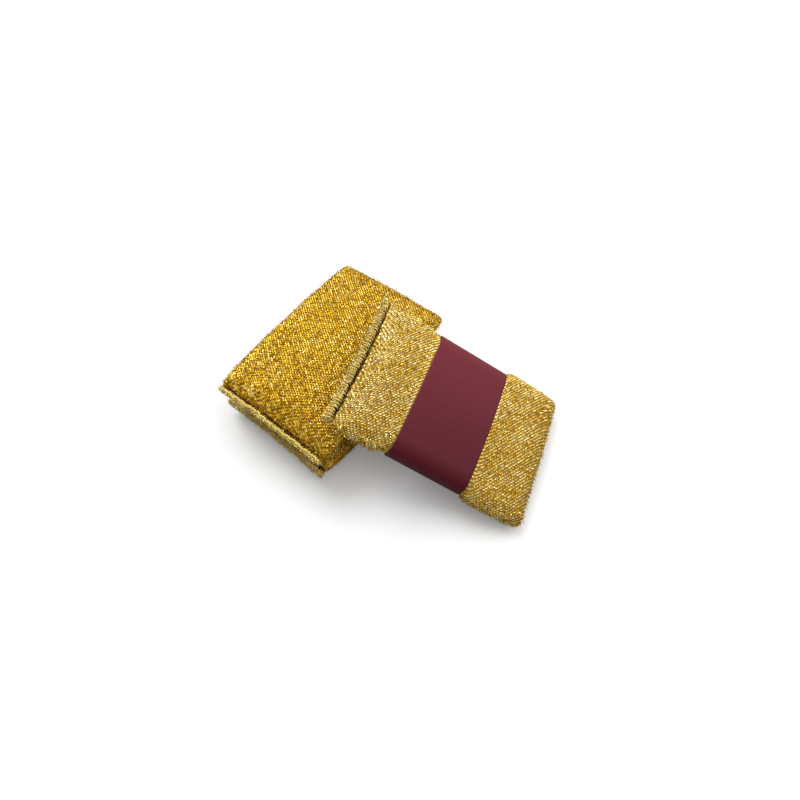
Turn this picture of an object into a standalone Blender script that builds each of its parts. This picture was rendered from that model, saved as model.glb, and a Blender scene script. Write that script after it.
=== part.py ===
"""Three gold net sponges: two lie in a pile, and a third in a paper band leans on them.

Each sponge is a foam block in a knitted tube. The tube is sewn shut inside out at one end and
pressed flat and overcast at the other. Metres, +Z up, the floor at zero. In a sponge's own
frame X runs from the lip to the closed end, Y across it and Z out of its upper face.
"""

import math

import bmesh
import bpy
from mathutils import Matrix, Vector
from mathutils.bvhtree import BVHTree

MM = 0.001

# The sponge's outside, as wide as it is at its ends.
SPONGE_LENGTH = 131.0 * MM
SPONGE_WIDTH = 90.0 * MM
SPONGE_THICKNESS = 20.0 * MM
END_ROUNDING = 6.0 * MM

# The knitted tube, and the lip where it is pressed flat.
FABRIC = 1.2 * MM
LIP_DEPTH = 6.5 * MM
LIP_SLOT = 0.5 * MM
LIP_SHOULDER = 12.0 * MM
SEAM_ALLOWANCE = 6.0 * MM
SEAM_WIDTH = 74.0 * MM
SEAM_ROOT = 0.8 * MM

# The cover's sections from its lip to its full thickness, as shares: of the shoulder's length, of
# the lip's lift, of the step from the lip's width to the full width, and of the half thickness.
SHOULDER_SECTIONS = (
    (0.15, 0.9, 0.5, 0.25),
    (0.45, 0.4, 0.85, 0.66),
    (1.0, 0.1, 1.0, 0.88),
)
# Its sections at the closed end, as shares: of the end's rounding, in from the end and then off
# each side, and of the half thickness.
END_SECTIONS = (
    (1.0, 0.05, 0.88),
    (0.15, 0.3, 0.62),
    (0.0, 0.9, 0.28),
)
# A loose sponge is widest in its middle: two sections, each this share of the half length from it.
# Its closed end is narrower.
MIDDLE = 0.25
BULGE = 1.5 * MM
END_TAPER = 2.4 * MM
# Its section before the closed end's: how far in from the end, and the share of the half thickness.
END_SHOULDER = 13.0 * MM
END_SHOULDER_THICKNESS = 0.97

# The banded sponge is drawn in each side as far as its band slides, and its closed end spreads.
# Two sections near each end of that stretch keep it straight.
SQUEEZE = 2.8 * MM
SQUEEZE_START = 30.0 * MM
SQUEEZE_LENGTH = 89.5 * MM
SQUEEZE_HOLD = 4.0 * MM
SPREAD = 2.0 * MM

# The foam inside it.
FOAM_CLEARANCE = 0.45 * MM
FOAM_SETBACK = 1.6 * MM
FOAM_CORNER = 5.0 * MM

# Its sections at the lip's end and at the closed end, as shares: of the corner, in from the end
# and then off each side, and of the half thickness.
FOAM_LIP_SECTIONS = (
    (0.0, 1.0, 0.4),
    (0.2, 0.5, 0.7),
    (1.2, 0.0, 0.84),
)
FOAM_END_SECTIONS = (
    (1.2, 0.1, 0.93),
    (0.2, 0.6, 0.72),
    (0.0, 1.2, 0.4),
)

# Thread of the two seams.
THREAD_RADIUS = 0.45 * MM
THREAD_CLEARANCE = 0.3 * MM
LIP_STITCH = 3.0 * MM
SEAM_STITCH = 6.0 * MM
STITCH_SETBACK = 3.0 * MM

# The paper band and the glue under its lap.
BAND_WIDTH = 49.0 * MM
BAND_START = 40.0 * MM
BAND_CLEARANCE = 0.35 * MM
PAPER = 0.4 * MM
LAP = 12.0 * MM
LAP_STEP = 5.0 * MM
GLUE = 0.3 * MM
GLUE_CLEARANCE = 0.1 * MM
GLUE_MARGIN = 3.0 * MM

# How the sponges lie, with turns in degrees. The pile settles, and the banded one leans on it.
RESTING_GAP = 0.3 * MM
FLATTENED = 0.5 * MM
LOWER_X = -41.2 * MM
LOWER_Y = 29.6 * MM
LOWER_TURN = 52.0
UPPER_X = -43.3 * MM
UPPER_Y = 29.0 * MM
UPPER_TURN = 54.4
BANDED_X = 30.8 * MM
BANDED_Y = -13.8 * MM
BANDED_TURN = -22.5
BANDED_ROLL = 2.0
STEEPEST_LEAN = 45.0
LEAN_HALVINGS = 14
PILE_LIP_WIDTH = 84.0 * MM
PILE_LIP_LIFT = 1.0 * MM
BANDED_LIP_WIDTH = 88.0 * MM
BANDED_LIP_LIFT = 4.5 * MM

# Worked out from the sizes above.
HALF_LENGTH = SPONGE_LENGTH / 2
HALF_WIDTH = SPONGE_WIDTH / 2
HALF_THICKNESS = SPONGE_THICKNESS / 2
LIP_HALF = FABRIC + LIP_SLOT / 2
SQUEEZED_HALF = HALF_WIDTH - SQUEEZE
SQUEEZE_FROM = -HALF_LENGTH + SQUEEZE_START
SQUEEZE_TO = SQUEEZE_FROM + SQUEEZE_LENGTH
LIP_BASE = -HALF_LENGTH + LIP_DEPTH
INSIDE_END = HALF_LENGTH - FABRIC
SEAM_EDGE = INSIDE_END - SEAM_ALLOWANCE


def clear_scene():
    for obj in list(bpy.data.objects):
        bpy.data.objects.remove(obj, do_unlink=True)


def collection(name, shown=True):
    made = bpy.data.collections.new(name)
    made.hide_render = not shown
    bpy.context.scene.collection.children.link(made)
    return made


def material(name, colour, roughness, metallic=0.0):
    """A Principled material in one colour, given as linear RGB."""
    made = bpy.data.materials.new(name)
    made.use_nodes = True
    shader = made.node_tree.nodes["Principled BSDF"]
    shader.inputs["Base Color"].default_value = (*colour, 1.0)
    shader.inputs["Roughness"].default_value = roughness
    shader.inputs["Metallic"].default_value = metallic
    made.diffuse_color = (*colour, 1.0)
    return made


def add_object(name, data, group, finish):
    obj = bpy.data.objects.new(name, data)
    data.materials.append(finish)
    group.objects.link(obj)
    return obj


def section(half_width, half_thickness):
    """The cage of one cross-section, as (y, z) pairs: two shoulders a side and a low crown.

    The factors make the subdivided section reach just the half width and half thickness.
    """
    side = half_width + 0.05 * half_thickness
    shoulder = (half_width - 0.2 * half_thickness, 0.7 * half_thickness)
    edge = (half_width - 1.1 * half_thickness, 0.97 * half_thickness)
    crown = 1.01 * half_thickness
    quarter = [shoulder, edge]
    upper = [(side, 0.0), *quarter, (0.0, crown), *[(-y, z) for y, z in reversed(quarter)]]
    lower = [(-y, -z) for y, z in upper]
    return upper + lower


def cage(name, stations, closed_ends):
    """A mesh through one section per station, each (x, z, half width, half thickness)."""
    mesh = bpy.data.meshes.new(name)
    shape = bmesh.new()
    rings = []
    for x, z, half_width, half_thickness in stations:
        ring = [shape.verts.new((x, y, z + dz)) for y, dz in section(half_width, half_thickness)]
        rings.append(ring)
    count = len(rings[0])
    for one, two in zip(rings, rings[1:]):
        for i in range(count):
            j = (i + 1) % count
            shape.faces.new((one[i], two[i], two[j], one[j]))
    for end in closed_ends:
        ring = rings[end]
        # The cap's strips run from the crown's points above to those below.
        for i in range(count // 2):
            corners = [ring[i], ring[(i + 1) % count], ring[-1 - i], ring[-i % count]]
            shape.faces.new(list(dict.fromkeys(corners)))
    bmesh.ops.recalc_face_normals(shape, faces=shape.faces)
    shape.to_mesh(mesh)
    shape.free()
    for face in mesh.polygons:
        face.use_smooth = True
    return mesh


def subdivide(obj):
    modifier = obj.modifiers.new("Smooth", "SUBSURF")
    modifier.levels = 1
    modifier.render_levels = 1


def solidify(obj, thickness, offset):
    modifier = obj.modifiers.new("Thickness", "SOLIDIFY")
    modifier.thickness = thickness
    modifier.offset = offset
    modifier.use_even_offset = True
    modifier.use_rim = True


def boolean(obj, operation, other):
    modifier = obj.modifiers.new(operation.title(), "BOOLEAN")
    modifier.operation = operation
    modifier.solver = "EXACT"
    modifier.object = other


def box(name, low, high, group):
    """A cutter or filler from one corner to the other, in its parent's frame."""
    mesh = bpy.data.meshes.new(name)
    shape = bmesh.new()
    bmesh.ops.create_cube(shape, size=1.0)
    low = Vector(low)
    high = Vector(high)
    place = Matrix.Translation((low + high) / 2) @ Matrix.Diagonal((*(high - low), 1.0))
    bmesh.ops.transform(shape, matrix=place, verts=shape.verts)
    shape.to_mesh(mesh)
    shape.free()
    obj = bpy.data.objects.new(name, mesh)
    group.objects.link(obj)
    return obj


def hidden_box(name, low, high, frame):
    obj = box(name, low, high, CUTTERS)
    obj.parent = frame
    obj.hide_render = True
    obj.display_type = "WIRE"
    return obj


def loose_middle():
    """The (x, half width, thickness share) sections of a sponge that nothing squeezes."""
    middle = MIDDLE * HALF_LENGTH
    wide = HALF_WIDTH + BULGE
    shoulder = (HALF_LENGTH - END_SHOULDER, HALF_WIDTH - END_TAPER / 2, END_SHOULDER_THICKNESS)
    return [(-middle, wide, 1.0), (middle, wide, 1.0), shoulder]


def squeezed_middle():
    """The same of the sponge in the paper band."""
    held = (SQUEEZE_FROM, SQUEEZE_FROM + SQUEEZE_HOLD, SQUEEZE_TO - SQUEEZE_HOLD, SQUEEZE_TO)
    return [(x, SQUEEZED_HALF, 1.0) for x in held]


def body_stations(lip_width, lip_lift, middle, end_half_width):
    """The cover's stations, from the lip's edge to the closed end."""
    lip = lip_width / 2
    stations = [
        (-HALF_LENGTH, lip_lift, lip, LIP_HALF),
        (LIP_BASE, lip_lift, lip, LIP_HALF),
    ]
    for along, lift, widening, thickness in SHOULDER_SECTIONS:
        half_width = lip + widening * (HALF_WIDTH - lip)
        x = LIP_BASE + along * LIP_SHOULDER
        stations.append((x, lift * lip_lift, half_width, thickness * HALF_THICKNESS))
    for x, half_width, thickness in middle:
        stations.append((x, 0.0, half_width, thickness * HALF_THICKNESS))
    for inward, narrowing, thickness in END_SECTIONS:
        x = HALF_LENGTH - inward * END_ROUNDING
        half_width = end_half_width - narrowing * END_ROUNDING
        stations.append((x, 0.0, half_width, thickness * HALF_THICKNESS))
    return stations


def knit_cover(name, frame, stations):
    """The knitted tube, open between the lip's two layers, with its seam allowance turned in."""
    mesh = cage(name, stations, closed_ends=[-1])
    cover = add_object(name, mesh, SPONGES, GOLD_KNIT)
    cover.parent = frame
    subdivide(cover)
    solidify(cover, FABRIC, -1.0)
    low = (SEAM_EDGE, -SEAM_WIDTH / 2, -FABRIC)
    high = (INSIDE_END + SEAM_ROOT, SEAM_WIDTH / 2, FABRIC)
    boolean(cover, "UNION", hidden_box(name + "_allowance", low, high, frame))
    return cover


def foam_core(name, frame, lip_lift, middle_half_width):
    """The foam block, rounded where the net draws it in."""
    inset = FABRIC + FOAM_CLEARANCE
    half_width = min(HALF_WIDTH, middle_half_width) - inset
    half_thickness = HALF_THICKNESS - inset
    start = LIP_BASE + LIP_SHOULDER - FOAM_SETBACK
    end = SEAM_EDGE - THREAD_CLEARANCE - 2 * THREAD_RADIUS - FOAM_SETBACK
    # It follows the cover where that still bends up towards the lip.
    bend = SHOULDER_SECTIONS[-1][1] * lip_lift
    stations = []
    for inward, narrowing, thickness in FOAM_LIP_SECTIONS:
        x = start + inward * FOAM_CORNER
        across = half_width - narrowing * FOAM_CORNER
        stations.append((x, bend, across, thickness * half_thickness))
    for x in (-MIDDLE * HALF_LENGTH, MIDDLE * HALF_LENGTH):
        stations.append((x, 0.0, middle_half_width - inset, half_thickness))
    for inward, narrowing, thickness in FOAM_END_SECTIONS:
        x = end - inward * FOAM_CORNER
        across = half_width - narrowing * FOAM_CORNER
        stations.append((x, 0.0, across, thickness * half_thickness))
    core = add_object(name, cage(name, stations, closed_ends=[0, -1]), SPONGES, FOAM)
    core.parent = frame
    subdivide(core)
    return core


def overcast(name, frame, edge, half_width, z, half_thickness, stitch):
    """One thread wound to and fro over a fabric edge, from one side of the sponge to the other.

    edge is the fabric's end on the side of the lip, and the stitches reach past it into the fabric.
    """
    out = THREAD_RADIUS + THREAD_CLEARANCE
    height = half_thickness + out
    leg = [
        (STITCH_SETBACK + out, height),
        (0.0, height),
        (-0.8 * out, 0.55 * height),
        (-0.8 * out, -0.55 * height),
        (0.0, -height),
        (STITCH_SETBACK + out, -height),
    ]
    count = int(2 * half_width / stitch)
    points = []
    for i in range(count + 1):
        y = (i - count / 2) * stitch
        turn = leg if i % 2 == 0 else leg[::-1]
        points += [(edge + depth, y, z + dz) for depth, dz in turn]
    curve = bpy.data.curves.new(name, "CURVE")
    curve.dimensions = "3D"
    curve.bevel_depth = THREAD_RADIUS
    curve.bevel_resolution = 0
    curve.use_fill_caps = True
    spline = curve.splines.new("POLY")
    spline.points.add(len(points) - 1)
    for point, place in zip(spline.points, points):
        point.co = (*place, 1.0)
    thread = add_object(name, curve, SPONGES, GOLD_THREAD)
    thread.parent = frame
    return thread


def sponge(name, lip_width, lip_lift, middle, end_half_width):
    """A sponge's four pieces on an empty at its middle."""
    frame = bpy.data.objects.new(name, None)
    SPONGES.objects.link(frame)
    stations = body_stations(lip_width, lip_lift, middle, end_half_width)
    cover = knit_cover(name + "_knit_cover", frame, stations)
    foam_core(name + "_foam_core", frame, lip_lift, middle[0][1])
    margin = 2 * STITCH_SETBACK
    overcast(
        name + "_lip_stitching",
        frame,
        -HALF_LENGTH,
        (lip_width - margin) / 2,
        lip_lift,
        LIP_HALF,
        LIP_STITCH,
    )
    overcast(
        name + "_end_seam_stitching",
        frame,
        SEAM_EDGE,
        (SEAM_WIDTH - margin) / 2,
        0.0,
        FABRIC,
        SEAM_STITCH,
    )
    return frame, cover


def paper_band(frame):
    """The paper strip round the sponge, its end lapped over its start on the underside."""
    half_width = SQUEEZED_HALF + BAND_CLEARANCE
    half_thickness = HALF_THICKNESS + BAND_CLEARANCE
    ring = section(half_width, half_thickness)
    quarter = len(ring) // 4
    crown = ring[quarter]
    # Round the ring from beside the crown below, over the top and back to it.
    around = [ring[(i + 3 * quarter + 1) % len(ring)] for i in range(len(ring) - 1)]
    outer = crown[1] + PAPER + GLUE + 2 * GLUE_CLEARANCE
    start = (-LAP / 2, -crown[1])
    outline = [
        start,
        (around[0][0] * 0.3, -crown[1]),
        *around,
        (-LAP / 2 - 2 * LAP_STEP, -crown[1]),
        (-LAP / 2 - LAP_STEP, -outer),
        (0.0, -outer),
        (LAP / 2, -outer),
    ]
    first = -HALF_LENGTH + BAND_START
    mesh = bpy.data.meshes.new("paper_band")
    shape = bmesh.new()
    rows = [[shape.verts.new((x, y, z)) for y, z in outline] for x in (first, first + BAND_WIDTH)]
    for i in range(len(outline) - 1):
        shape.faces.new((rows[0][i], rows[0][i + 1], rows[1][i + 1], rows[1][i]))
    shape.to_mesh(mesh)
    shape.free()
    for face in mesh.polygons:
        face.use_smooth = True
    band = add_object("paper_band", mesh, SPONGES, WINE_PAPER)
    band.parent = frame
    subdivide(band)
    solidify(band, PAPER, 1.0)
    high = -(crown[1] + PAPER + GLUE_CLEARANCE)
    glue = box(
        "band_glue",
        (first + GLUE_MARGIN, -LAP / 2 + GLUE_MARGIN / 2, high - GLUE),
        (first + BAND_WIDTH - GLUE_MARGIN, LAP / 2 - GLUE_MARGIN / 2, high),
        SPONGES,
    )
    glue.data.materials.append(DRY_GLUE)
    glue.parent = frame
    return band


def surface(obj):
    """The finished mesh's points in world space, and its search tree."""
    bpy.context.view_layer.update()
    graph = bpy.context.evaluated_depsgraph_get()
    finished = obj.evaluated_get(graph)
    mesh = finished.to_mesh()
    points = [finished.matrix_world @ vertex.co for vertex in mesh.vertices]
    faces = [tuple(face.vertices) for face in mesh.polygons]
    finished.to_mesh_clear()
    return points, BVHTree.FromPolygons(points, faces)


def fall_onto(points, tree, below_points, below_tree):
    """How far the first surface can drop before it meets the second."""
    down = Vector((0.0, 0.0, -1.0))
    hits = [below_tree.ray_cast(point, down)[3] for point in points]
    hits += [tree.ray_cast(point, -down)[3] for point in below_points]
    return min((hit for hit in hits if hit is not None), default=math.inf)


def falls(frame, cover, supports):
    """How far a raised sponge can drop to the floor, and how far to its resting gap above a support."""
    frame.location.z = 4 * SPONGE_WIDTH
    points, tree = surface(cover)
    to_floor = min(point.z for point in points)
    to_supports = [fall_onto(points, tree, *surface(support)) for support in supports]
    return to_floor, min(to_supports) - RESTING_GAP


def settle(frame, cover, supports):
    """Drops a sponge until it meets the floor or a support."""
    drop = min(falls(frame, cover, supports))
    frame.location.z -= drop


def lean(frame, cover, supports):
    """Finds by halving the slope at which a sponge meets the floor and a support together."""
    flat = 0.0
    steep = math.radians(STEEPEST_LEAN)
    for _ in range(LEAN_HALVINGS):
        frame.rotation_euler.y = (flat + steep) / 2
        to_floor, to_supports = falls(frame, cover, supports)
        if to_floor < to_supports:
            steep = frame.rotation_euler.y
        else:
            flat = frame.rotation_euler.y
    settle(frame, cover, supports)


def centre_over_origin(frames, pieces):
    """Moves the whole set sideways until the middle of its box is over the origin."""
    points = [point for piece in pieces for point in surface(piece)[0]]
    for axis in range(2):
        values = [point[axis] for point in points]
        middle = (min(values) + max(values)) / 2
        for frame in frames:
            frame.location[axis] -= middle


clear_scene()
SPONGES = collection("net_sponges")
CUTTERS = collection("cutters", shown=False)
GOLD_KNIT = material("gold_lame_knit", (0.58, 0.36, 0.05), 0.35, 0.8)
GOLD_THREAD = material("gold_thread", (0.68, 0.46, 0.10), 0.4, 0.6)
FOAM = material("foam", (0.85, 0.78, 0.55), 0.95)
WINE_PAPER = material("wine_paper", (0.17, 0.025, 0.04), 0.5)
DRY_GLUE = material("dry_glue", (0.75, 0.72, 0.62), 0.4)

loose = (PILE_LIP_WIDTH, PILE_LIP_LIFT, loose_middle(), HALF_WIDTH - END_TAPER)
squeezed = (BANDED_LIP_WIDTH, BANDED_LIP_LIFT, squeezed_middle(), HALF_WIDTH + SPREAD)
lower, lower_cover = sponge("lower", *loose)
upper, upper_cover = sponge("upper", *loose)
banded, banded_cover = sponge("banded", *squeezed)
paper_band(banded)

# The sponge at the bottom is pressed flat where it stands.
lower.location = (LOWER_X, LOWER_Y, HALF_THICKNESS - FLATTENED)
lower.rotation_euler.z = math.radians(LOWER_TURN)
under = SPONGE_LENGTH
floor_low = (-under, -under, -SPONGE_THICKNESS)
floor_high = (under, under, FLATTENED - HALF_THICKNESS)
boolean(lower_cover, "DIFFERENCE", hidden_box("floor", floor_low, floor_high, lower))

upper.location = (UPPER_X, UPPER_Y, 0.0)
upper.rotation_euler.z = math.radians(UPPER_TURN)
settle(upper, upper_cover, [lower_cover])

banded.location = (BANDED_X, BANDED_Y, 0.0)
banded.rotation_euler = (math.radians(BANDED_ROLL), 0.0, math.radians(BANDED_TURN))
lean(banded, banded_cover, [lower_cover, upper_cover])

pieces = [obj for obj in SPONGES.objects if obj.type != "EMPTY"]
centre_over_origin([lower, upper, banded], pieces)
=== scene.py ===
"""Three net sponges of gold metallic knit: two lie in a pile, a third in a paper band leans on it.

Shapes are worked out in millimetres in each sponge's own frame, where X runs from the lip to the
closed end, Y across and Z out of the upper face, and are then set in the row's frame in metres.
"""

import math
from typing import NamedTuple

import bpy
import numpy as np
from mathutils import Euler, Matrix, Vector


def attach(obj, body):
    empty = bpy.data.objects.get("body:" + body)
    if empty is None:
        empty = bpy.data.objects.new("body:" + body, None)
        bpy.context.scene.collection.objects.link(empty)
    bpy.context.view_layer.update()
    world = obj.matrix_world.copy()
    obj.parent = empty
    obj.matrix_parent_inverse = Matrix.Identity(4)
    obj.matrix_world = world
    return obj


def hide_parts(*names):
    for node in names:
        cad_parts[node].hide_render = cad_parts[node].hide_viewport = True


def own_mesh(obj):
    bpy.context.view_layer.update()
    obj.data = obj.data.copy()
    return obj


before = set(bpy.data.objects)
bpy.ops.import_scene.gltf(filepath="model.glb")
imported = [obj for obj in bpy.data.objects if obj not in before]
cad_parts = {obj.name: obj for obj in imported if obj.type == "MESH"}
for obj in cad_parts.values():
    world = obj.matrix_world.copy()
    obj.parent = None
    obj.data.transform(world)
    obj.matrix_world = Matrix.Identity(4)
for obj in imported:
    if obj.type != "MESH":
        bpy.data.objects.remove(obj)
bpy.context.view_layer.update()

# The camera looks down from in front, close to the set, so that near edges look large.

CAMERA_AT = (0.0057, -0.13867, 0.2574)
CAMERA_TILT = 27.8
LENS = 18.64
SENSOR = 36.0

camera_data = bpy.data.cameras.new("camera")
camera_data.lens = LENS
camera_data.sensor_width = SENSOR
camera = bpy.data.objects.new("camera", camera_data)
camera.location = CAMERA_AT
camera.rotation_euler = (math.radians(CAMERA_TILT), 0.0, 0.0)
bpy.context.scene.collection.objects.link(camera)
bpy.context.scene.camera = camera
bpy.context.scene.view_settings.view_transform = "Standard"

# The studio: a sheet of white card that runs out of view, under a sky that is brightest above, to
# the right and behind, and one large soft lamp behind, which throws the short shadow towards the
# viewer.

CARD_HALF = 3.0
CARD_GLOW = 0.12
LAMP_FROM = Vector((-0.3, 0.6, 0.86))
LAMP_ANGLE = 36.0
LAMP_STRENGTH = 1.6
SKY_FROM = Vector((0.62, 0.36, 0.7))
SKY_POWER = 2.2
SKY_LEAST = 0.2
SKY_RANGE = 1.6


def as_linear(code):
    """Linear RGBA of an sRGB hex code: each part over 255, put through the sRGB curve."""
    parts = [int(code[i : i + 2], 16) / 255 for i in (1, 3, 5)]
    return (*[p / 12.92 if p <= 0.04045 else ((p + 0.055) / 1.055) ** 2.4 for p in parts], 1.0)


def add_node(tree, kind, settings=None, inputs=None):
    """Adds a node, sets its properties, and fills each input with a value or a link."""
    made = tree.nodes.new(kind)
    for key, value in (settings or {}).items():
        setattr(made, key, value)
    for key, value in (inputs or {}).items():
        if isinstance(value, bpy.types.NodeSocket):
            tree.links.new(value, made.inputs[key])
        else:
            made.inputs[key].default_value = value
    return made


def calculate(tree, operation, *values):
    """The result of a math node on values or links."""
    node = add_node(tree, "ShaderNodeMath", {"operation": operation}, dict(enumerate(values)))
    return node.outputs[0]


def new_material(name):
    """A material with an empty node tree, and that tree."""
    made = bpy.data.materials.new(name)
    made.use_nodes = True
    made.node_tree.nodes.clear()
    return made, made.node_tree


# White card. To the camera it glows a little, so that it is white where no shadow falls. To all
# other rays it is greyer, so that it lights the undersides less.
white_card, tree = new_material("white_card")
is_camera = add_node(tree, "ShaderNodeLightPath").outputs["Is Camera Ray"]
seen = add_node(
    tree,
    "ShaderNodeMix",
    {"data_type": "RGBA"},
    {"Factor": is_camera, 6: as_linear("#B4B4B4"), 7: as_linear("#F4F4F4")},
)
lit = add_node(tree, "ShaderNodeBsdfDiffuse", None, {"Color": seen.outputs[2]})
glow = calculate(tree, "MULTIPLY", is_camera, CARD_GLOW)
shine = add_node(tree, "ShaderNodeEmission", None, {"Strength": glow})
both = add_node(tree, "ShaderNodeAddShader", None, {0: lit.outputs[0], 1: shine.outputs[0]})
add_node(tree, "ShaderNodeOutputMaterial", None, {"Surface": both.outputs[0]})

card_mesh = bpy.data.meshes.new("card")
corners = [(x * CARD_HALF, y * CARD_HALF, 0.0) for x, y in ((-1, -1), (1, -1), (1, 1), (-1, 1))]
card_mesh.from_pydata(corners, [], [(0, 1, 2, 3)])
card_mesh.materials.append(white_card)
card = bpy.data.objects.new("card", card_mesh)
bpy.context.scene.collection.objects.link(card)

# The sky's strength is SKY_LEAST + SKY_RANGE times the SKY_POWER-th power of the cosine between
# the way looked and SKY_FROM.
world = bpy.data.worlds.new("studio")
world.use_nodes = True
tree = world.node_tree
tree.nodes.clear()
way = add_node(tree, "ShaderNodeTexCoord").outputs["Generated"]
facing = add_node(
    tree, "ShaderNodeVectorMath", {"operation": "DOT_PRODUCT"}, {0: way, 1: SKY_FROM}
)
ahead = calculate(tree, "MAXIMUM", facing.outputs["Value"], 0.0)
share = calculate(tree, "POWER", ahead, SKY_POWER)
level = calculate(tree, "MULTIPLY_ADD", share, SKY_RANGE, SKY_LEAST)
sky = add_node(
    tree, "ShaderNodeBackground", None, {"Color": as_linear("#FFFFFF"), "Strength": level}
)
add_node(tree, "ShaderNodeOutputWorld", None, {"Surface": sky.outputs[0]})
bpy.context.scene.world = world

lamp = bpy.data.lights.new("lamp", "SUN")
lamp.angle = math.radians(LAMP_ANGLE)
lamp.energy = LAMP_STRENGTH
lamp_object = bpy.data.objects.new("lamp", lamp)
lamp_object.rotation_euler = LAMP_FROM.to_track_quat("Z", "Y").to_euler()
bpy.context.scene.collection.objects.link(lamp_object)

# The knitted covers: tubes of gold metallic tape, pressed flat and overcast at the lip and
# seamed shut inside out at the other end, drawn over a foam block that fills them.

MM = 0.001
ROWS = 241
COLUMNS = 160
SIDE_POINTS = 2400
TAPE_RISE = 0.7
ROUNDING = 1.1
CROWN = 0.09
SKEW_END = -46.0
SKEW_FADE = 12.0
BOW_REACH = 43.0
PRESSED = 0.4


class Sponge(NamedTuple):
    """Where a sponge lies in the row, in millimetres and degrees, what sets it apart, and how much
    painted highlight its tape gets.
    """

    middle: tuple
    turns: tuple
    lift: float  # of its lip, over its middle
    room: tuple  # how far its lower and its upper face may swell
    # A painted highlight: the banded sponge's tape is painted paler for the glints it catches.
    painted_highlight: float  # added to its tape's tone
    swing: float  # of its stitches along it, in courses
    seed: int


class Lip(NamedTuple):
    """A sponge's lip, in millimetres."""

    edge: float  # the X of its edge
    depth: float
    half_width: float
    half_thickness: float
    slant: float  # how far aslant it is sewn, as X over Y
    bow: float  # how far its corners point out
    pitch: float  # of the thread wound over it
    thread: float  # that thread's radius


SPONGES = {
    "lower": Sponge((-35.497, 16.081, 9.5), (0.0, 0.0, 52.0), 1.0, (0.0, 0.1), 0.0, 0.3, 11),
    "upper": Sponge((-37.597, 15.481, 29.659), (0.0, 0.0, 54.4), 1.0, (0.1, 0.7), 0.0, 0.3, 23),
    "banded": Sponge(
        (36.503, -27.319, 30.131), (2.0, 21.3931, -22.5), 4.5, (0.2, 0.4), 0.25, 0.17, 37
    ),
}
LIPS = {
    "lower": Lip(-65.2, 3.4, 42.5, 1.9, 0.0, 1.2, 1.8, 0.22),
    "upper": Lip(-62.6, 2.5, 42.0, 1.7, 0.018, 1.0, 1.8, 0.22),
    "banded": Lip(-66.1, 4.0, 43.0, 2.5, -0.03, 1.3, 1.8, 0.26),
}

# The paper band reaches from BAND_FROM to BAND_TO along its sponge. It holds the knit flat within
# BAND_HELD of its middle, and less over the next BAND_FADE, and slides over all of BAND_PATH.
BAND_FROM = -25.5
BAND_TO = 23.5
BAND_MIDDLE = (BAND_FROM + BAND_TO) / 2
BAND_HELD = 25.5
BAND_FADE = 1.5
BAND_PATH = (-32.0, 51.0)

# The control points of a tube's side view and plan. In the lip they are shares of its depth and of
# its thickness. Round the crease's line they are X past that line, the share of the lip's lift,
# the width past the lip's and the half height. Behind it they are X, the share of the lift, the
# half height, and the half width of a loose and of a banded sponge.
CREASE = 0.7
LIP_OUTLINE = ((0.0, 0.0), (0.0, 0.7), (0.25, 1.05), (0.75, 1.05), (1.0, 0.6))
CREASE_OUTLINE = (
    (-0.1, 1.0, 0.0, 0.05),
    (0.1, 1.0, 0.0, 0.05),
    (0.6, 0.96, 0.3, 1.6),
    (1.4, 0.9, 0.5, 2.6),
)
OUTLINE = np.array(
    [
        (-57.4, 0.8, 4.0, 43.2, 43.8),
        (-54.0, 0.52, 5.9, 43.8, 44.4),
        (-50.0, 0.28, 7.7, 44.3, 44.8),
        (-45.0, 0.1, 9.0, 44.8, 44.9),
        (-38.0, 0.0, 9.7, 45.2, 44.8),
        (-33.0, 0.0, 9.9, 45.3, 44.5),
        (-30.5, 0.0, 9.9, 45.5, 42.6),
        (-26.0, 0.0, 9.9, 45.6, 42.4),
        (-23.0, 0.0, 9.9, 45.6, 42.4),
        (-8.0, 0.0, 10.0, 45.7, 42.4),
        (8.0, 0.0, 10.0, 45.7, 42.4),
        (21.0, 0.0, 9.9, 45.6, 42.4),
        (24.0, 0.0, 9.9, 45.5, 42.6),
        (25.5, 0.0, 9.9, 45.5, 45.4),
        (29.0, 0.0, 9.9, 45.3, 46.2),
        (37.0, 0.0, 9.9, 45.0, 46.4),
        (48.0, 0.0, 9.8, 44.4, 46.2),
        (57.0, 0.0, 9.2, 43.8, 45.6),
        (62.5, 0.0, 7.8, 43.3, 44.9),
        (65.3, 0.0, 4.6, 42.7, 44.0),
        (65.5, 0.0, 1.8, 42.2, 43.4),
        (64.6, 0.0, 0.5, 41.6, 42.8),
        (63.9, 0.0, 0.0, 41.4, 42.6),
    ]
)


def spline_weights(share):
    """The four weights of a uniform cubic B-spline at a share of the way along a span."""
    return (
        (1 - share) ** 3 / 6,
        (3 * share**3 - 6 * share**2 + 4) / 6,
        (-3 * share**3 + 3 * share**2 + 3 * share + 1) / 6,
        share**3 / 6,
    )


def read_grid(grid, row, column):
    """A grid's smooth value at fractional rows and columns: 16 neighbours by B-spline weights.

    Columns wrap round the tube, and rows stop at the ends.
    """
    i = np.floor(row).astype(int)
    j = np.floor(column).astype(int)
    total = 0.0
    for a, down in enumerate(spline_weights(row - i)):
        for b, across in enumerate(spline_weights(column - j)):
            near = grid[np.clip(i + a - 1, 0, len(grid) - 1), (j + b - 1) % grid.shape[1]]
            total = total + (down * across)[..., None] * near
    return total


def unit(vectors):
    """Each vector over its length."""
    return vectors / np.maximum(np.linalg.norm(vectors, axis=-1, keepdims=True), 1e-9)


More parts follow.
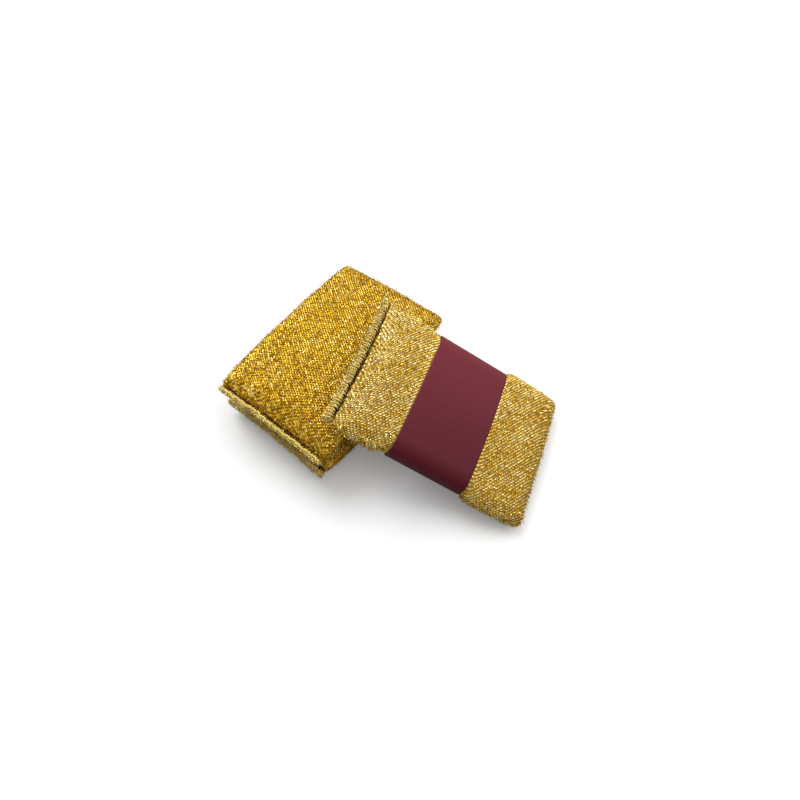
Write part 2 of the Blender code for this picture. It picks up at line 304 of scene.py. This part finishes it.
def side_view(name):
    """X, lift, half width and half height of a tube per row, evenly spaced along its upper face.

    They are a clamped cubic B-spline of the control points.
    """
    lift = SPONGES[name].lift
    lip = LIPS[name]
    crease = lip.edge + lip.depth + CREASE
    table = [
        (lip.edge + share * lip.depth, lift, lip.half_width, up * lip.half_thickness)
        for share, up in LIP_OUTLINE
    ]
    table += [
        (crease + past, share * lift, lip.half_width + wider, high)
        for past, share, wider, high in CREASE_OUTLINE
    ]
    width = OUTLINE[:, 4 if name == "banded" else 3]
    body = np.stack([OUTLINE[:, 0], OUTLINE[:, 1] * lift, width, OUTLINE[:, 2]], axis=-1)
    table = np.concatenate([np.array(table), body])
    points = np.concatenate([table[:1], table[:1], table, table[-1:], table[-1:]])
    place = np.linspace(0.0, len(points) - 3 - 1e-9, SIDE_POINTS)
    i = np.floor(place).astype(int)
    fine = sum(w[:, None] * points[i + k] for k, w in enumerate(spline_weights(place - i)))
    steps = np.hypot(np.diff(fine[:, 0]), np.diff(fine[:, 3]))
    run = np.concatenate([[0.0], np.cumsum(steps)])
    even = np.linspace(0.0, run[-1], ROWS)
    return [np.interp(even, run, fine[:, k])[:, None] for k in range(4)]


def skew(name, y):
    """How far a lip's line lies from straight across, along X: slant Y - bow (Y / BOW_REACH)^2."""
    return LIPS[name].slant * y - LIPS[name].bow * (y / BOW_REACH) ** 2


def lengths_round(half_width, half_height):
    """The lengths of a section's flat face and of the half ellipse at its side.

    The half ellipse's is pi times the root mean square of its half axes.
    """
    flat = 2 * (half_width - ROUNDING * half_height)
    turn = math.pi * half_height * math.sqrt((ROUNDING**2 + 1) / 2)
    return flat, turn


def section(way, half_width, half_height):
    """Y and Z a way round a section, from the upper face's edge at -Y over +Y and back below.

    Half ellipses, ROUNDING times as wide as high, join two flat faces. Foam pushes both faces up
    along their middle: Z is multiplied by 1 - CROWN + CROWN cos(pi Y / half width).
    """
    flat, turn = lengths_round(half_width, half_height)
    over = way >= flat + turn
    way = np.where(over, way - flat - turn, way)
    angle = math.pi * np.clip((way - flat) / np.maximum(turn, 1e-6), 0.0, 1.0)
    bent = flat / 2 + ROUNDING * half_height * np.sin(angle)
    y = np.where(way < flat, way - flat / 2, bent)
    z = np.where(way < flat, half_height, half_height * np.cos(angle))
    z = z * (1.0 - CROWN + CROWN * np.cos(math.pi * y / half_width))
    facing = np.where(over, -1.0, 1.0)
    return y * facing, z * facing


def tube(name):
    """The tube's grid of points, a section per row.

    The way round is shared out by length, so that stitches stay evenly wide.
    """
    x, up, half_width, half_height = side_view(name)
    flat, turn = lengths_round(half_width, half_height)
    way = (np.arange(COLUMNS)[None, :] / COLUMNS) * 2 * (flat + turn)
    y, z = section(way, half_width, half_height)
    x = x + skew(name, y) * np.clip((SKEW_END - x) / SKEW_FADE, 0.0, 1.0)
    return np.stack([x, y, z + up], axis=-1)


def grid_normals(points):
    """Outward unit normals: the cross product of the grid's steps along and round."""
    along = np.gradient(points, axis=0)
    wrapped = np.concatenate([points[:, -1:], points, points[:, :1]], axis=1)
    around = (wrapped[:, 2:] - wrapped[:, :-2]) / 2
    return unit(np.cross(along, around))


def sewn(rows, columns):
    """A grid's point numbers, with each end's lower half numbered as the upper half it is sewn to.

    Along an end row the point below column j, with the same Y, is column minus j.
    """
    number = np.arange(rows * columns)
    across = np.arange(columns)
    for start in (0, (rows - 1) * columns):
        number[start + across] = start + np.minimum(across, -across % columns)
    return number


def closed_tube(rows, columns):
    """Quads of a grid whose columns wrap round and whose ends are sewn shut."""
    i = np.arange(rows - 1)[:, None] * columns
    j = np.arange(columns)[None, :]
    k = (j + 1) % columns
    faces = np.stack([i + j, i + columns + j, i + columns + k, i + k], axis=-1).reshape(-1, 4)
    return sewn(rows, columns)[faces]


def new_mesh(name, points, faces):
    """A mesh from points and faces as arrays, with the points that no face uses left out."""
    used, numbers = np.unique(faces, return_inverse=True)
    mesh = bpy.data.meshes.new(name)
    corners = numbers.reshape(faces.shape).tolist()
    mesh.from_pydata(points.reshape(-1, 3)[used].tolist(), [], corners)
    mesh.shade_smooth()
    return mesh, used


def turned(sponge):
    """The rotation from a sponge's frame to the row's."""
    return Euler([math.radians(turn) for turn in SPONGES[sponge].turns]).to_matrix()


def make_piece(name, points, faces, sponge, finishes, tones=None, body=None):
    """An object from millimetres in a sponge's frame, set in the row's frame, riding on its body.

    What lies on the surface is pressed flat: below a height h of PRESSED, z becomes h exp(z/h - 1).
    """
    placed = points.reshape(-1, 3) @ np.array(turned(sponge)).T + np.array(SPONGES[sponge].middle)
    z = placed[:, 2]
    low = PRESSED * np.exp(np.minimum(z / PRESSED, 1.0) - 1.0)
    placed[:, 2] = np.where(z < PRESSED, low, z)
    mesh, used = new_mesh(name, placed * MM, faces)
    for finish in finishes:
        mesh.materials.append(finish)
    if tones is not None:
        tone = mesh.attributes.new("tone", "FLOAT", "POINT")
        tone.data.foreach_set("value", tones.reshape(-1)[used].astype(np.float32))
    made = bpy.data.objects.new(name, mesh)
    bpy.context.scene.collection.objects.link(made)
    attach(made, body or sponge + "_sponge")
    return made


# The cloth is every eighth row and fourth column of a tube, a little thinner than it. It is held
# over the lip, up to the X of HELD_LIP, and under a band, and each hold fades out.
COARSE = (8, 4)
CLOTH_SHRINK = 0.93
CLOTH_FRAMES = 20
MOST_SWELL = 0.9
HELD_LIP = -54.0
HELD_LIP_FADE = 6.0
HELD_WAIST = 28.0
HELD_WAIST_FADE = 3.0


def swell(points, room, waist):
    """Blows the tube up as cloth under pressure, for CLOTH_FRAMES frames.

    How far each point of the cloth moved is read back onto the full grid, kept below a most and,
    on the lower and upper face, to the room there.
    """
    coarse = points[:: COARSE[0], :: COARSE[1]]
    slim = coarse * np.array([1.0, 1.0, CLOTH_SHRINK])
    rows, columns = coarse.shape[:2]
    mesh, used = new_mesh("cloth", slim * MM, closed_tube(rows, columns))
    cloth_object = bpy.data.objects.new("cloth", mesh)
    bpy.context.scene.collection.objects.link(cloth_object)
    x = coarse.reshape(-1, 3)[used, 0]
    held = np.clip((HELD_LIP - x) / HELD_LIP_FADE, 0.0, 1.0)
    if waist:
        under_band = (HELD_WAIST - np.abs(x - BAND_MIDDLE)) / HELD_WAIST_FADE
        held = np.maximum(held, np.clip(under_band, 0.0, 1.0))
    group = cloth_object.vertex_groups.new(name="held")
    for number, weight in enumerate(held.tolist()):
        group.add([number], weight, "REPLACE")
    settings = cloth_object.modifiers.new("Cloth", "CLOTH").settings
    settings.quality = 6
    settings.mass = 0.2
    settings.tension_stiffness = 15.0
    settings.compression_stiffness = 15.0
    settings.bending_stiffness = 0.8
    settings.vertex_group_mass = "held"
    settings.use_pressure = True
    settings.uniform_pressure_force = 4.0
    settings.effector_weights.gravity = 0.0
    for number in range(CLOTH_FRAMES):
        bpy.context.scene.frame_set(1 + number)
    blown = cloth_object.evaluated_get(bpy.context.evaluated_depsgraph_get()).to_mesh()
    after = np.empty(len(blown.vertices) * 3, np.float32)
    blown.vertices.foreach_get("co", after)
    bpy.data.objects.remove(cloth_object, do_unlink=True)
    bpy.context.scene.frame_set(1)
    moved = np.zeros((rows * columns, 3))
    moved[used] = after.reshape(-1, 3) / MM - coarse.reshape(-1, 3)[used]
    moved = moved[sewn(rows, columns)]
    size = np.linalg.norm(moved, axis=1, keepdims=True)
    moved *= np.minimum(1.0, MOST_SWELL / np.maximum(size, 1e-9))
    moved = moved.reshape(rows, columns, 3)
    moved[..., 2] = np.clip(moved[..., 2], -room[0], room[1])
    row = np.arange(ROWS)[:, None] / COARSE[0] + np.zeros((1, COLUMNS))
    column = np.arange(COLUMNS)[None, :] / COARSE[1] + np.zeros((ROWS, 1))
    return points + read_grid(moved, row, column)


def stored_tone(tree):
    """The tone stored at each point of a mesh."""
    return add_node(tree, "ShaderNodeAttribute", {"attribute_name": "tone"}).outputs["Fac"]


def colour_ramp(tree, factor, *stops):
    """A colour by a factor: it runs through stops, each a place from 0 to 1 and a hex code."""
    ramp = add_node(tree, "ShaderNodeValToRGB", None, {0: factor})
    elements = ramp.color_ramp.elements
    elements[0].position = stops[0][0]
    elements[1].position = stops[-1][0]
    for place, _ in stops[1:-1]:
        elements.new(place)
    for element, (_, code) in zip(elements, stops):
        element.color = as_linear(code)
    return ramp.outputs[0]


def principled(tree, inputs):
    """Ends a material's tree in a principled surface."""
    skin = add_node(tree, "ShaderNodeBsdfPrincipled", None, inputs)
    add_node(tree, "ShaderNodeOutputMaterial", None, {"Surface": skin.outputs[0]})


# Gold lame: knitted polyester tape with a vapour of metal under a yellow dye. Its flat faces
# mirror the studio, and each bend in it catches the light at another angle, so it glitters.
gold_tape, tree = new_material("gold_lame_tape")
colour = colour_ramp(tree, stored_tone(tree), (0.0, "#BA8606"), (0.5, "#E4B934"), (1.0, "#FFF2B4"))
principled(tree, {"Base Color": colour, "Metallic": 1.0, "Roughness": 0.4})

# Between the tapes the knit's polyester ground yarn shows amber. In the sewn crease it is painted
# dark brown, a painted shade.
ground_yarn, tree = new_material("amber_polyester_yarn")
colour = colour_ramp(tree, stored_tone(tree), (0.0, "#2A1808"), (1.0, "#A87B0C"))
principled(tree, {"Base Color": colour, "Roughness": 0.7, "Specular IOR Level": 0.15})

# The knit has WALES stitches round the tube and COURSES along it, and the tape climbs CLIMB courses
# in one turn. Heights over the ground and the tape's half width are in millimetres, twists in
# radians, and waves along and across in courses and stitches. A tone runs from 0 to 1.
WALES = 140
COURSES = 74
CLIMB = 78
STEPS = 8
BROAD_GRID = (8, 14)
END_SHARE = 0.003
CUT_COURSE = 0.2
TAPE_HALF = 0.36
LEAST_RISE = 0.05
MIDDLE_RISE = 0.36
STITCH_RISE = 0.24
MOST_RISE = 0.8
ROUGH_RISE = 0.08
STITCH_LEAN = 0.1
WAVE = 0.06
STITCH_TWIST = 0.3
ROUGH_TWIST = 0.8
HELD_RISE = 0.3
HELD_TWIST = 0.15
SUNK_RISE = 0.2
SHADED_BELOW = 0.4
MIDDLE_TONE = 0.45
TONE_RANGE = 0.3
BROAD_TONE = 0.04
# Painted highlight: the next share is added to the tone of tape and loose ends on the lip, so that
# the lip shows paler.
LIP_PAINTED_HIGHLIGHT = 0.3
CREASE_REACH = 1.5
CREASE_BEFORE = 0.7
CREASE_END = 41.5
CREASE_END_FADE = 3.0


def ribbon_faces(strips, length):
    """Quads of strips that are two points wide."""
    i = (np.arange(strips)[:, None] * length + np.arange(length - 1)[None, :]).reshape(-1) * 2
    return np.stack([i, i + 2, i + 3, i + 1], axis=-1)


def in_crease(points, name):
    """How deep in the crease points lie: CREASE_REACH less the distance to its line, from 0 to 1.

    On the lip's side distances count CREASE_BEFORE times. The crease fades out before its ends.
    """
    lip = LIPS[name]
    away = points[..., 0] - (lip.edge + lip.depth + CREASE + skew(name, points[..., 1]))
    away = np.where(away < 0, -CREASE_BEFORE * away, away)
    ends = (CREASE_END - np.abs(points[..., 1])) / CREASE_END_FADE
    return np.clip(CREASE_REACH - away, 0.0, 1.0) * np.clip(ends, 0.0, 1.0)


def on_lip(points, name):
    """Whether points lie on the lip, before the line where it is sewn."""
    lip = LIPS[name]
    return points[..., 0] < lip.edge + lip.depth + skew(name, points[..., 1])


def knit(points, normals, name):
    """Ribbons of tape in knitted stitches, one per course, that climb aslant round the tube.

    In each stitch the tape swings along the tube by a cosine of the stitch's turn and rises in
    front by its sine, so that one leg of each loop shows. Noise read off random grids shifts it,
    twists it and shades it. Where a band holds it, the tape lies flat, and in the crease most of
    it sinks and gets a painted shade, the darkest tone. What would lie beyond the tube's ends is
    cut off.
    """
    sponge = SPONGES[name]
    rng = np.random.default_rng(sponge.seed)
    strips = COURSES + CLIMB
    length = WALES * STEPS + 1
    wale = np.arange(length)[None, :] / STEPS + np.zeros((strips, 1))
    course = np.arange(strips)[:, None] - CLIMB + CLIMB * wale / WALES
    slow = read_grid(rng.normal(size=(COURSES, WALES // 2, 4)), course, wale / 2)
    fast = read_grid(rng.normal(size=(COURSES * 2, WALES * 3, 3)), course * 2, wale * 3)
    down, around = BROAD_GRID
    broad = rng.normal(size=(down + 1, around, 1))
    broad = read_grid(broad, course * down / COURSES, wale * around / WALES)
    turn = 2 * math.pi * wale
    across = wale + STITCH_LEAN * (np.sin(turn) + slow[..., 0])
    along = course + 0.5 + sponge.swing * np.cos(turn) + WAVE * slow[..., 1]
    row = np.clip(along / COURSES, END_SHARE, 1 - END_SHARE) * (ROWS - 1)
    column = across / WALES * COLUMNS
    rise = MIDDLE_RISE + STITCH_RISE * np.sin(turn)
    rise = rise + WAVE * slow[..., 2] + ROUGH_RISE * fast[..., 2]
    rise = np.clip(rise, LEAST_RISE, MOST_RISE)
    twist = ROUGH_TWIST * fast[..., 0] + STITCH_TWIST * np.cos(turn)
    ground = read_grid(points, row, column)
    sunk_and_shaded = in_crease(ground, name) * (fast[..., 2] < SHADED_BELOW)
    rise = rise * (1 - (1 - SUNK_RISE) * sunk_and_shaded)
    if name == "banded":
        past = np.abs(ground[..., 0] - BAND_MIDDLE) - BAND_HELD
        free = np.clip(past / BAND_FADE, 0.0, 1.0)
        rise = rise * (HELD_RISE + (1 - HELD_RISE) * free)
        twist = twist * (HELD_TWIST + (1 - HELD_TWIST) * free)
    outward = read_grid(normals, row, column)
    centre = ground + outward * rise[..., None]
    beside = unit(np.cross(outward, unit(np.gradient(centre, axis=1))))
    reach = np.cos(twist)[..., None] * beside + np.sin(twist)[..., None] * outward
    ribbon = np.stack([centre - reach * TAPE_HALF, centre + reach * TAPE_HALF], axis=2)
    # Painted highlight: the sponge's own share raises its tape's tone.
    tones = MIDDLE_TONE + sponge.painted_highlight + TONE_RANGE * fast[..., 1]
    # Painted highlight: tape on the lip is painted paler.
    tones = tones + BROAD_TONE * (slow[..., 3] + broad[..., 0]) + LIP_PAINTED_HIGHLIGHT * on_lip(ground, name)
    # Painted shade: tape sunk in the crease gets the darkest tone.
    tones = np.clip(tones, 0.0, 1.0) * (1 - sunk_and_shaded) - sunk_and_shaded
    inside = (along > CUT_COURSE) & (along < COURSES - CUT_COURSE)
    inside = (inside[:, 1:] & inside[:, :-1]).reshape(-1)
    return ribbon, ribbon_faces(strips, length)[inside], np.repeat(tones, 2)


# Loose ends: how many there are on the whole tube and how many more on the lip, where they start on
# top of the overcasting, and how far each stands up as a share of its length, on the tube, on the
# lip and where a band has slid over it. X grows with the row from LIP_FIRST_ROW on.
LIP_FIRST_ROW = 10
STRAYS = 9000
LIP_STRAYS = 4000
STRAY_LENGTH = 1.7
SHORTEST = 0.4
LONGEST = 1.4
STRAY_HALF = 0.19
STRAY_POINTS = 4
GROWTH = 0.9
GROWTH_ON_LIP = 0.5
GROWTH_IN_PATH = 0.3
OVER_THREAD = 0.55
STRAY_TWIST = 0.6
STRAY_TONE = 0.55
STRAY_TONE_RANGE = 0.25


def strays(points, normals, name):
    """Short loose ends of tape: from a random spot each goes out and bends aside by a square law.

    More of them grow on the lip. None grow under a band or in the crease.
    """
    rng = np.random.default_rng(SPONGES[name].seed + 1)
    count = STRAYS + LIP_STRAYS
    x = points[LIP_FIRST_ROW:, 0, 0]
    last = np.searchsorted(x, LIPS[name].edge + LIPS[name].depth) + LIP_FIRST_ROW
    anywhere = rng.uniform(0.5, ROWS - 1.5, STRAYS)
    row = np.concatenate([anywhere, rng.uniform(0.5, 0.9 * last, LIP_STRAYS)])
    column = rng.uniform(0, COLUMNS, count)
    root = read_grid(points, row, column)[:, None]
    outward = read_grid(normals, row, column)[:, None]
    aside = np.cross(outward[:, 0], rng.normal(size=(count, 3)))[:, None]
    length = STRAY_LENGTH * rng.uniform(SHORTEST, LONGEST, (count, 1, 1))
    root[STRAYS:] += OVER_THREAD * outward[STRAYS:]
    free = in_crease(root[:, 0], name) == 0
    growth = np.full((count, 1, 1), GROWTH)
    if name == "banded":
        x = root[:, 0, 0]
        growth[(x > BAND_PATH[0]) & (x < BAND_PATH[1])] = GROWTH_IN_PATH
        free = free & (np.abs(x - BAND_MIDDLE) > BAND_HELD)
    growth[STRAYS:] = GROWTH_ON_LIP
    root, outward, aside, length, growth = (v[free] for v in (root, outward, aside, length, growth))
    count = len(root)
    aside = unit(aside)
    step = np.linspace(0.0, 1.0, STRAY_POINTS)[None, :, None]
    centre = root + (outward * step * growth + aside * (0.3 * step + 0.4 * step**2)) * length
    # Each is twisted at random and narrows towards its tip.
    beside = np.cross(outward, aside) + STRAY_TWIST * outward * rng.normal(size=(count, 1, 1))
    reach = beside * STRAY_HALF * (1.1 - 0.5 * step)
    ribbon = np.stack([centre - reach, centre + reach], axis=2)
    # Painted highlight: loose ends on the lip are painted paler.
    tones = rng.normal(STRAY_TONE, STRAY_TONE_RANGE, count) + LIP_PAINTED_HIGHLIGHT * on_lip(centre[:, 0], name)
    tones = np.repeat(np.clip(tones, 0, 1), 2 * STRAY_POINTS)
    return ribbon, ribbon_faces(count, STRAY_POINTS), tones


def make_room(piece, name):
    """Gives each of the banded sponge's pieces a mesh of its own."""
    if name == "banded":
        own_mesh(piece)


forms = {}
for name, sponge in SPONGES.items():
    outer = tube(name)
    inner = outer - grid_normals(outer) * TAPE_RISE
    inner = swell(inner, sponge.room, name == "banded")
    normals = grid_normals(inner)
    forms[name] = (inner, normals)
    faces = closed_tube(ROWS, COLUMNS)
    # Painted shade: the ground's tone drops towards dark brown in the crease.
    tones = 1 - in_crease(inner, name)
    ground = make_piece(name + "_knit_ground", inner, faces, name, [ground_yarn], tones)
    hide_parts(name + "_knit_cover")
    loops, faces, tones = knit(inner, normals, name)
    tape = make_piece(name + "_knit_tape", loops, faces, name, [gold_tape], tones)
    ends, faces, tones = strays(inner, normals, name)
    fuzz = make_piece(name + "_loose_tape_ends", ends, faces, name, [gold_tape], tones)
    for piece in (ground, tape, fuzz):
        make_room(piece, name)

# The overcasting of each lip: one thread of yarn, wound over the two layers from side to side, and
# on the loose sponges a chain of thread along both faces, in the groove that the needle leaves.

WIND_POINTS = 16
THREAD_SIDES = 6
CHAIN_THREAD = 0.24
WIND_LEAN = 0.35
UNEVEN_PITCH = 0.3
SWAY = 0.4


def power(value, exponent):
    """A value's size to an exponent, with the value's sign."""
    return np.sign(value) * np.abs(value) ** exponent


def thread_tube(path, radius):
    """A six-sided tube along a path: rings square to it, turned from a fixed side direction."""
    run = unit(np.gradient(path, axis=0))
    first = unit(np.cross(run, np.array([0.31, 0.12, 0.94])))[:, None]
    second = np.cross(run, first[:, 0])[:, None]
    angle = np.linspace(0, 2 * math.pi, THREAD_SIDES, endpoint=False)[None, :, None]
    rings = path[:, None] + radius * (first * np.cos(angle) + second * np.sin(angle))
    i = np.arange(len(path) - 1)[:, None] * THREAD_SIDES
    j = np.arange(THREAD_SIDES)[None, :]
    k = (j + 1) % THREAD_SIDES
    walls = np.stack([i + j, i + k, i + THREAD_SIDES + k, i + THREAD_SIDES + j], axis=-1)
    lid = np.array([[0, 3, 2, 1], [0, 5, 4, 3]])
    far_lid = lid[:, ::-1] + (len(path) - 1) * THREAD_SIDES
    return rings.reshape(-1, 3), np.concatenate([walls.reshape(-1, 4), lid, far_lid])


def object_noise(tree, **inputs):
    """Noise on an object's own coordinates."""
    place = add_node(tree, "ShaderNodeTexCoord").outputs["Object"]
    noise = add_node(tree, "ShaderNodeTexNoise", None, {"Vector": place, **inputs})
    return noise.outputs["Fac"]


# Gold thread: polyester yarn, spun round and without metal, so it is matter and paler than tape.
gold_thread, tree = new_material("gold_polyester_thread")
twill = object_noise(tree, Scale=2600.0)
colour = colour_ramp(tree, twill, (0.36, "#F8C830"), (0.52, "#FFF090"))
principled(tree, {"Base Color": colour, "Roughness": 0.5, "Specular IOR Level": 0.2})

for name, sponge in SPONGES.items():
    rng = np.random.default_rng(sponge.seed + 2)
    lip = LIPS[name]
    winds = int(2 * (lip.half_width - 0.5) / lip.pitch)
    turn = np.linspace(0.0, 2 * math.pi * winds, winds * WIND_POINTS + 1)
    whole_turns = 2 * math.pi * np.arange(winds + 1)
    uneven = np.interp(turn, whole_turns, rng.normal(0.0, UNEVEN_PITCH, winds + 1))
    y = (turn / turn[-1] - 0.5) * winds * lip.pitch + uneven
    # A winding is a flattened ring, a superellipse, that moves on by the pitch each turn.
    sway = np.interp(turn, whole_turns, rng.normal(0.0, SWAY, winds + 1))
    middle = lip.edge + 0.5 * lip.depth + skew(name, y) + sway
    deep = 0.5 * (lip.depth + lip.thread)
    high = lip.half_thickness + 0.5 * (lip.thread + sway)
    ring = [
        middle - deep * power(np.cos(turn), 0.7),
        y + WIND_LEAN * np.sin(turn),
        sponge.lift + high * power(np.sin(turn), 0.75),
    ]
    lines = [thread_tube(np.stack(ring, axis=-1), lip.thread)]
    chained_sides = () if name == "banded" else (1.0, -1.0)
    for side in chained_sides:
        high = lip.half_thickness + 0.8 * CHAIN_THREAD + 0.12 * np.cos(2 * turn)
        for phase in (0.0, math.pi):
            chain = [middle + 0.3 * np.sin(turn + phase), y, sponge.lift + side * high]
            lines.append(thread_tube(np.stack(chain, axis=-1), CHAIN_THREAD))
    starts = np.cumsum([0] + [len(points) for points, _ in lines[:-1]])
    points = np.concatenate([points for points, _ in lines])
    faces = np.concatenate([faces + start for (_, faces), start in zip(lines, starts)])
    stitching = make_piece(
        name + "_lip_overcasting", points, faces, name, [gold_thread]
    )
    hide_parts(name + "_lip_stitching")
    make_room(stitching, name)
    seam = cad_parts[name + "_end_seam_stitching"]
    seam.data.materials.clear()
    seam.data.materials.append(gold_thread)

# The foam blocks: cut from a soft yellow polyether foam, with rounded ends, each closed by a row
# drawn in to the block's middle height.

FOAM_INSET = 0.9
FOAM_FROM = -56.0
FOAM_TO = 56.0
FOAM_TIP = 2.0
FOAM_TIP_WIDTH = 0.93

# Open-celled foam: a pale straw yellow, dull, with darker cells of about 0.4 mm.
foam, tree = new_material("polyether_foam")
place = add_node(tree, "ShaderNodeTexCoord").outputs["Object"]
cells = add_node(tree, "ShaderNodeTexVoronoi", None, {"Vector": place, "Scale": 2400.0})
colour = colour_ramp(tree, cells.outputs["Distance"], (0.0, "#CDBB86"), (1.0, "#EFE2B8"))
principled(tree, {"Base Color": colour, "Roughness": 0.95})

for name, (inner, normals) in forms.items():
    along = inner[:, 0, 0]
    block = (inner - normals * FOAM_INSET)[(along > FOAM_FROM) & (along < FOAM_TO)][::2]
    tips = []
    for row, out in ((block[0], -FOAM_TIP), (block[-1], FOAM_TIP)):
        tip = row * np.array([1.0, FOAM_TIP_WIDTH, 1.0]) + np.array([out, 0.0, 0.0])
        tip[:, 2] = row[:, 2].mean()
        tips.append(tip[None])
    block = np.concatenate([tips[0], block, tips[1]])
    faces = closed_tube(len(block), COLUMNS)
    core = make_piece(name + "_foam_block", block, faces, name, [foam])
    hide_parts(name + "_foam_core")
    make_room(core, name)

# The paper band: a strip of coated paper round the banded sponge, its end glued over its
# start on the underside.

BAND_ROWS = 50
BAND_COLUMNS = 300
BAND_HALF_WIDTH = 43.0
BAND_HALF_HEIGHT = 10.5
PAPER = 0.3
LAP = 6.0
LAP_DROP = 0.9

# Coated paper printed all over in wine red: a satin coat over a faint mottle of fibres. Its colour
# is painted paler towards its far side and darker towards its near side, a painted sheen and shade.
wine_paper, tree = new_material("wine_coated_paper")
fibre = object_noise(tree, Scale=900.0, Detail=4.0, Roughness=0.7)
place = add_node(tree, "ShaderNodeTexCoord").outputs["Object"]
apart = add_node(tree, "ShaderNodeSeparateXYZ", None, {0: place})
# Painted sheen and shade: along the row's Y the red runs from darker near to paler far.
across = {"Value": apart.outputs["Y"], "From Min": -0.07, "From Max": 0.02}
painted_sheen = add_node(tree, "ShaderNodeMapRange", None, {**across, "To Min": -0.3, "To Max": 0.3})
ink = calculate(tree, "ADD", fibre, painted_sheen.outputs["Result"])
colour = colour_ramp(tree, ink, (0.1, "#4E0F19"), (0.9, "#782231"))
relief = {"Strength": 0.1, "Distance": 0.0001, "Height": fibre}
raised = add_node(tree, "ShaderNodeBump", None, relief).outputs[0]
coat = {"Base Color": colour, "Roughness": 0.5, "Specular IOR Level": 0.18, "Normal": raised}
principled(tree, coat)

# The cut edge shows the paper's own pale pink core.
paper_core, tree = new_material("cut_paper_edge")
fibre = object_noise(tree, Scale=1500.0)
colour = colour_ramp(tree, fibre, (0.0, "#9C6470"), (1.0, "#CFA6AC"))
principled(tree, {"Base Color": colour, "Roughness": 0.8})

# The strip starts under the lap, goes round the side at +Y, the top and the side at -Y, and back
# below, where its last stretch steps down over its first. That is the section upside down.
flat, turn = lengths_round(BAND_HALF_WIDTH, BAND_HALF_HEIGHT)
girth = 2 * (flat + turn)
way = np.linspace(-LAP, girth + LAP, BAND_COLUMNS)[None, :]
y, z = section((way + flat / 2) % girth, BAND_HALF_WIDTH, BAND_HALF_HEIGHT)
z = -z - LAP_DROP * np.clip((way - girth + 2 * LAP) / LAP, 0.0, 1.0)
x = np.linspace(BAND_FROM, BAND_TO, BAND_ROWS)[:, None]
points = np.stack([x + 0 * y, y + 0 * x, z + 0 * x], axis=-1)
i = np.arange(BAND_ROWS - 1)[:, None] * BAND_COLUMNS
j = np.arange(BAND_COLUMNS - 1)[None, :]
corners = [i + j, i + j + 1, i + BAND_COLUMNS + j + 1, i + BAND_COLUMNS + j]
faces = np.stack(corners, axis=-1).reshape(-1, 4)
papers = [wine_paper, paper_core]
band = make_piece("wine_paper_strip", points, faces, "banded", papers, body="band")
thickness = band.modifiers.new("Thickness", "SOLIDIFY")
thickness.thickness = PAPER * MM
thickness.offset = 0.0
thickness.use_rim = True
thickness.material_offset_rim = 1
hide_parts("paper_band")

# Dried white glue under the lap.
dry_glue, tree = new_material("dried_white_glue")
colour = colour_ramp(tree, object_noise(tree, Scale=400.0), (0.0, "#CFC9B6"), (1.0, "#E9E4D6"))
principled(tree, {"Base Color": colour, "Roughness": 0.35})
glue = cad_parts["band_glue"]
glue.data.materials.clear()
glue.data.materials.append(dry_glue)
